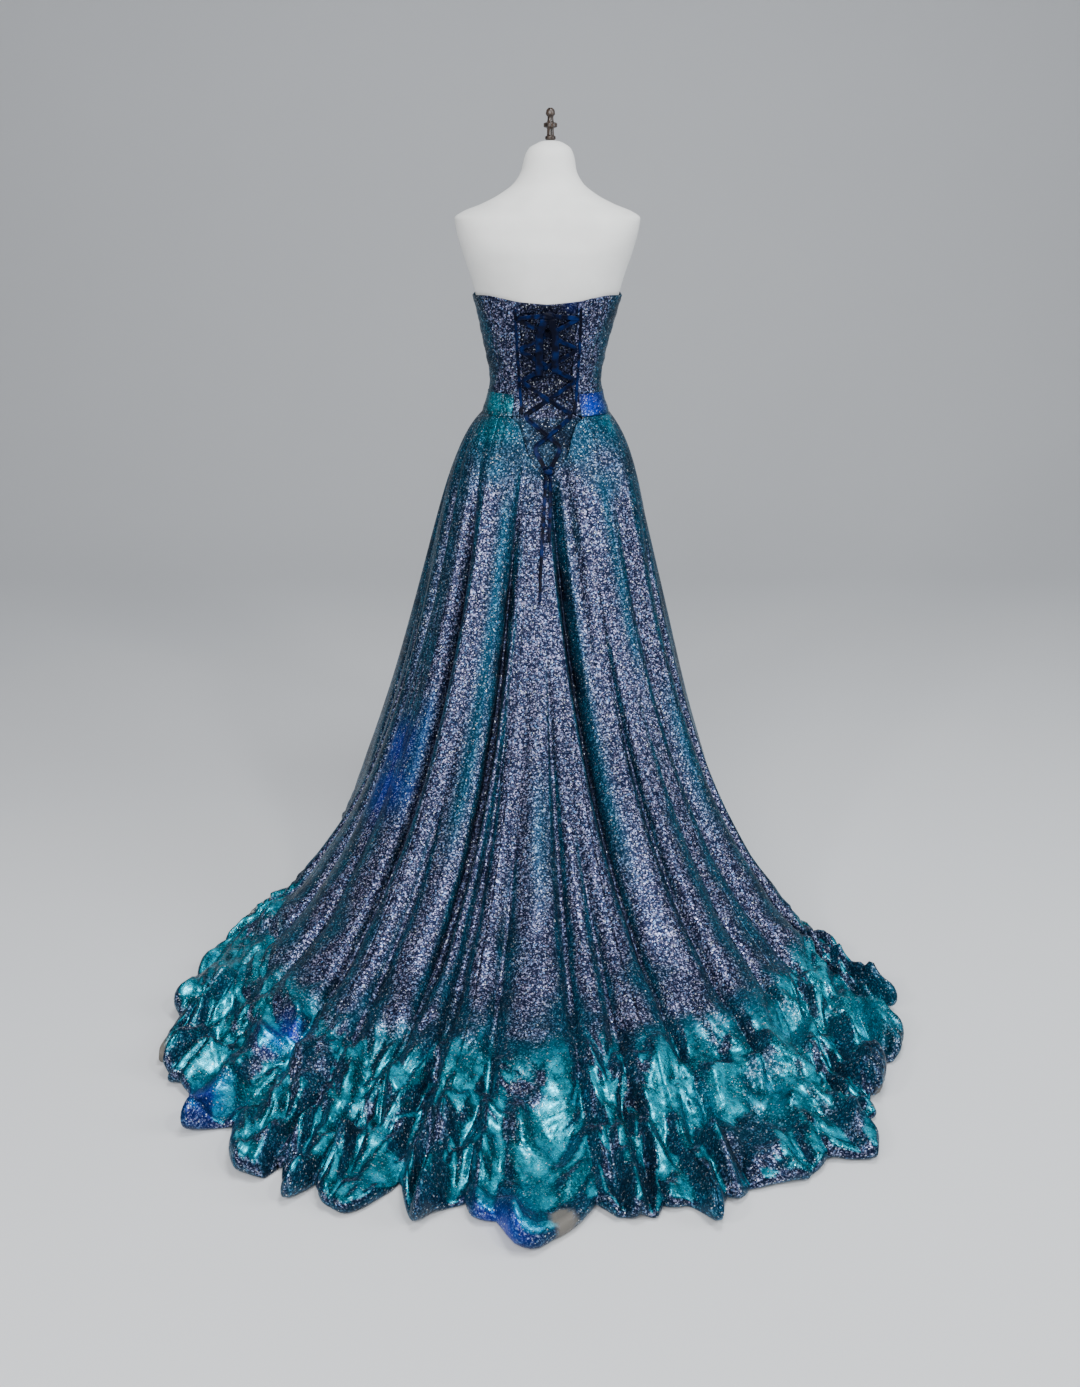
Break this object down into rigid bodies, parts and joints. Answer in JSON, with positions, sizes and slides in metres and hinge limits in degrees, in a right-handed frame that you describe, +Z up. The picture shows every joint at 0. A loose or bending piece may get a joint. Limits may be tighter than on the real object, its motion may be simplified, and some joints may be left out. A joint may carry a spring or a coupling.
{
  "type": "prom dress on a dress form",
  "caption": "Strapless glitter prom dress with a lace-up corset back, waistband and full pleated skirt with a train, worn by a limbless dress form.",
  "frame": {"origin": "under the centre of the stand's round base, on the floor", "axes": "+Z up, the back of the dress and its train towards -Y, +X to the wearer's right, which is the right of the picture"},
  "size_m": [1.3734, 1.8501, 1.65],
  "materials": {
    "glitter_cloth": "dark blue cloth covered with silver-lavender glitter",
    "waistband_cloth": "the same glitter cloth, teal to royal blue",
    "modesty_cloth": "dark navy glitter cloth",
    "navy_satin": "navy satin ribbon",
    "white_jersey": "matt white jersey",
    "dark_wood": "dark varnish",
    "stand_metal": "satin black paint"
  },
  "bodies": {
    "root": {"bodice_back_left": "glitter_cloth", "bodice_back_right": "glitter_cloth", "bodice_front": "glitter_cloth", "bodice_side_back_left": "glitter_cloth", "bodice_side_back_right": "glitter_cloth", "bodice_side_front_left": "glitter_cloth", "bodice_side_front_right": "glitter_cloth", "skirt_back_left": "glitter_cloth", "skirt_back_right": "glitter_cloth", "skirt_centre_back_left": "glitter_cloth", "skirt_centre_back_right": "glitter_cloth", "skirt_front_left": "glitter_cloth", "skirt_front_right": "glitter_cloth", "skirt_side_left": "glitter_cloth", "skirt_side_right": "glitter_cloth", "waistband": "waistband_cloth", "modesty_panel": "modesty_cloth", "bow_knot": "navy_satin", "bow_loop_left": "navy_satin", "bow_loop_right": "navy_satin", "lace_over": "navy_satin", "lace_under": "navy_satin", "lace_top_left": "navy_satin", "lace_top_right": "navy_satin", "loop_tape_left": "navy_satin", "loop_tape_right": "navy_satin", "lower_knot": "navy_satin", "lace_tail_long": "navy_satin", "lace_tail_short": "navy_satin", "form_torso": "white_jersey", "form_finial": "dark_wood", "stand_base": "stand_metal", "stand_pole": "stand_metal"}
  },
  "joints": []
}
